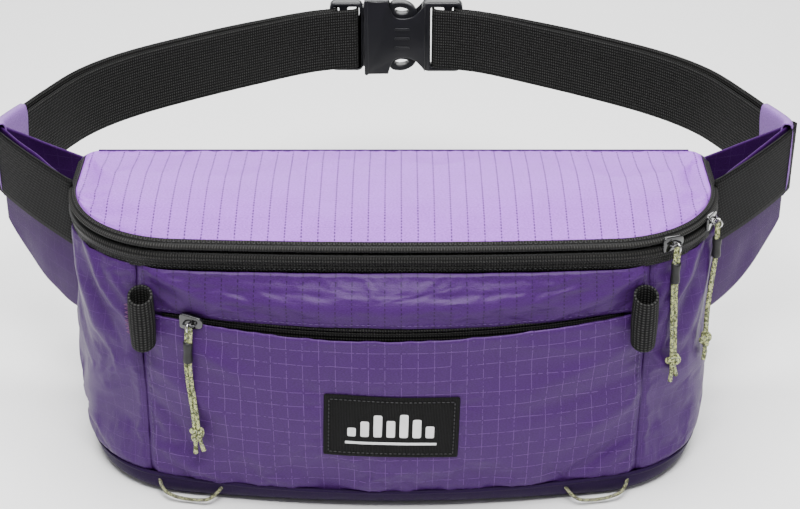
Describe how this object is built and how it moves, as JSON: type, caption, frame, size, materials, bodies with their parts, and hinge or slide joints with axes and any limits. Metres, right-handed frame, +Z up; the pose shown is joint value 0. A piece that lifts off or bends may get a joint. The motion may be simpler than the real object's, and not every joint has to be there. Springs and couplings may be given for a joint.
{
  "type": "waist pack",
  "caption": "Zip-top waist pack with a bulging front zip pocket, padded back, side wings and a webbing belt closed by a side-release buckle.",
  "frame": {"origin": "on the surface it stands on, under the centre of the whole box", "axes": "+Z up, the front zip pocket faces -Y, +X to the right seen from the front; the belt closes behind at +Y"},
  "size_m": [0.425, 0.3073, 0.159],
  "materials": {
    "shell_cloth": "coated ripstop, soft sheen",
    "lining_cloth": "plain lining weave",
    "foam": "closed-cell foam",
    "spacer_mesh": "spacer mesh",
    "zip_tape": "ribbed coil tape",
    "zip_coil": "nylon coil",
    "webbing": "ribbed webbing",
    "label_cloth": "woven label",
    "buckle_plastic": "moulded acetal, satin",
    "slider_metal": "gloss black plating",
    "pull_cord": "mottled braid",
    "sleeve_rubber": "shrunk sleeve",
    "lash_cord": "thin braid"
  },
  "bodies": {
    "root": {"bottom_panel": "shell_cloth", "back_panel": "lining_cloth", "side_gusset_left": "shell_cloth", "side_gusset_right": "shell_cloth", "front_pocket_panel": "shell_cloth", "front_upper_panel": "shell_cloth", "pocket_divider": "lining_cloth", "back_pad": "foam", "back_mesh": "spacer_mesh", "rim_zip_tape": "zip_tape", "rim_zip_coil": "zip_coil", "pocket_zip_tape_upper": "zip_tape", "pocket_zip_tape_lower": "zip_tape", "pocket_zip_coil_upper": "zip_coil", "pocket_zip_coil_lower": "zip_coil", "label": "label_cloth", "tab_left": "webbing", "tab_right": "webbing", "lash_cord_left": "lash_cord", "lash_cord_right": "lash_cord", "wing_outer_left": "shell_cloth", "wing_outer_right": "shell_cloth", "wing_inner_left": "shell_cloth", "wing_inner_right": "shell_cloth", "wing_webbing_left": "webbing", "wing_webbing_right": "webbing", "wing_cuff_left": "lining_cloth", "wing_cuff_right": "lining_cloth", "strap_left": "webbing", "strap_right": "webbing", "strap_tail_left": "webbing", "strap_tail_right": "webbing", "strap_end_left": "webbing", "strap_end_right": "webbing", "buckle_socket": "buckle_plastic"},
    "lid": {"lid_panel": "shell_cloth", "lid_pad": "foam", "lid_lining": "lining_cloth", "lid_zip_tape": "zip_tape", "lid_zip_coil": "zip_coil"},
    "front_slider": {"lid_slider_front": "slider_metal"},
    "side_slider": {"lid_slider_side": "slider_metal"},
    "pocket_slider": {"pocket_slider": "slider_metal"},
    "buckle_plug": {"buckle_plug": "buckle_plastic"},
    "upper_arm": {"buckle_arm_upper": "buckle_plastic"},
    "lower_arm": {"buckle_arm_lower": "buckle_plastic"},
    "front_pull": {"pull_ring_front": "slider_metal", "pull_cord_front": "pull_cord", "pull_sleeve_front": "sleeve_rubber", "pull_knot_front": "pull_cord"},
    "side_pull": {"pull_ring_side": "slider_metal", "pull_cord_side": "pull_cord", "pull_sleeve_side": "sleeve_rubber", "pull_knot_side": "pull_cord"},
    "pocket_pull": {"pull_ring_pocket": "slider_metal", "pull_cord_pocket": "pull_cord", "pull_sleeve_pocket": "sleeve_rubber", "pull_knot_pocket": "pull_cord"}
  },
  "joints": [
    {"name": "lid_hinge", "type": "hinge", "parent": "root", "child": "lid", "pos_m": [0, -0.03285, 0.149], "axis": [-1, 0, 0], "range_deg": [0, 95]},
    {"name": "front_slider_travel", "type": "hinge", "parent": "root", "child": "front_slider", "pos_m": [0.1025, -0.07371, 0.145], "axis": [0, 0, 1], "range_deg": [-9, 14]},
    {"name": "side_slider_travel", "type": "hinge", "parent": "root", "child": "side_slider", "pos_m": [0.1025, -0.07371, 0.145], "axis": [0, 0, 1], "range_deg": [0, 18]},
    {"name": "pocket_slider_travel", "type": "hinge", "parent": "root", "child": "pocket_slider", "pos_m": [0, 0.18715, 0.109], "axis": [0, 0, 1], "range_deg": [0, 33]},
    {"name": "front_pull_swing", "type": "hinge", "parent": "front_slider", "child": "front_pull", "pos_m": [0.13679, -0.12858, 0.145], "axis": [-0.848, -0.5299, 0], "range_deg": [0, 100]},
    {"name": "side_pull_swing", "type": "hinge", "parent": "side_slider", "child": "side_pull", "pos_m": [0.15963, -0.10409, 0.145], "axis": [-0.4695, -0.8829, 0], "range_deg": [0, 100]},
    {"name": "pocket_pull_swing", "type": "hinge", "parent": "pocket_slider", "child": "pocket_pull", "pos_m": [-0.09898, -0.14345, 0.109], "axis": [-0.958, 0.2868, 0], "range_deg": [0, 100]},
    {"name": "buckle_release", "type": "slide", "parent": "root", "child": "buckle_plug", "axis": [-1, 0, 0], "range_m": [0, 0.034], "deforming": ["buckle_arm_upper", "buckle_arm_lower"]},
    {"name": "upper_arm_press", "type": "hinge", "parent": "buckle_plug", "child": "upper_arm", "pos_m": [-0.0192, 0.14815, 0.147], "axis": [0, 1, 0], "range_deg": [0, 8], "stiffness_Nm_per_rad": 0.05},
    {"name": "lower_arm_press", "type": "hinge", "parent": "buckle_plug", "child": "lower_arm", "pos_m": [-0.0192, 0.14815, 0.123], "axis": [0, 1, 0], "range_deg": [-8, 0], "stiffness_Nm_per_rad": 0.05}
  ],
  "couplings": [
    {"joint": "lower_arm_press", "follows": "upper_arm_press", "ratio": -1}
  ]
}
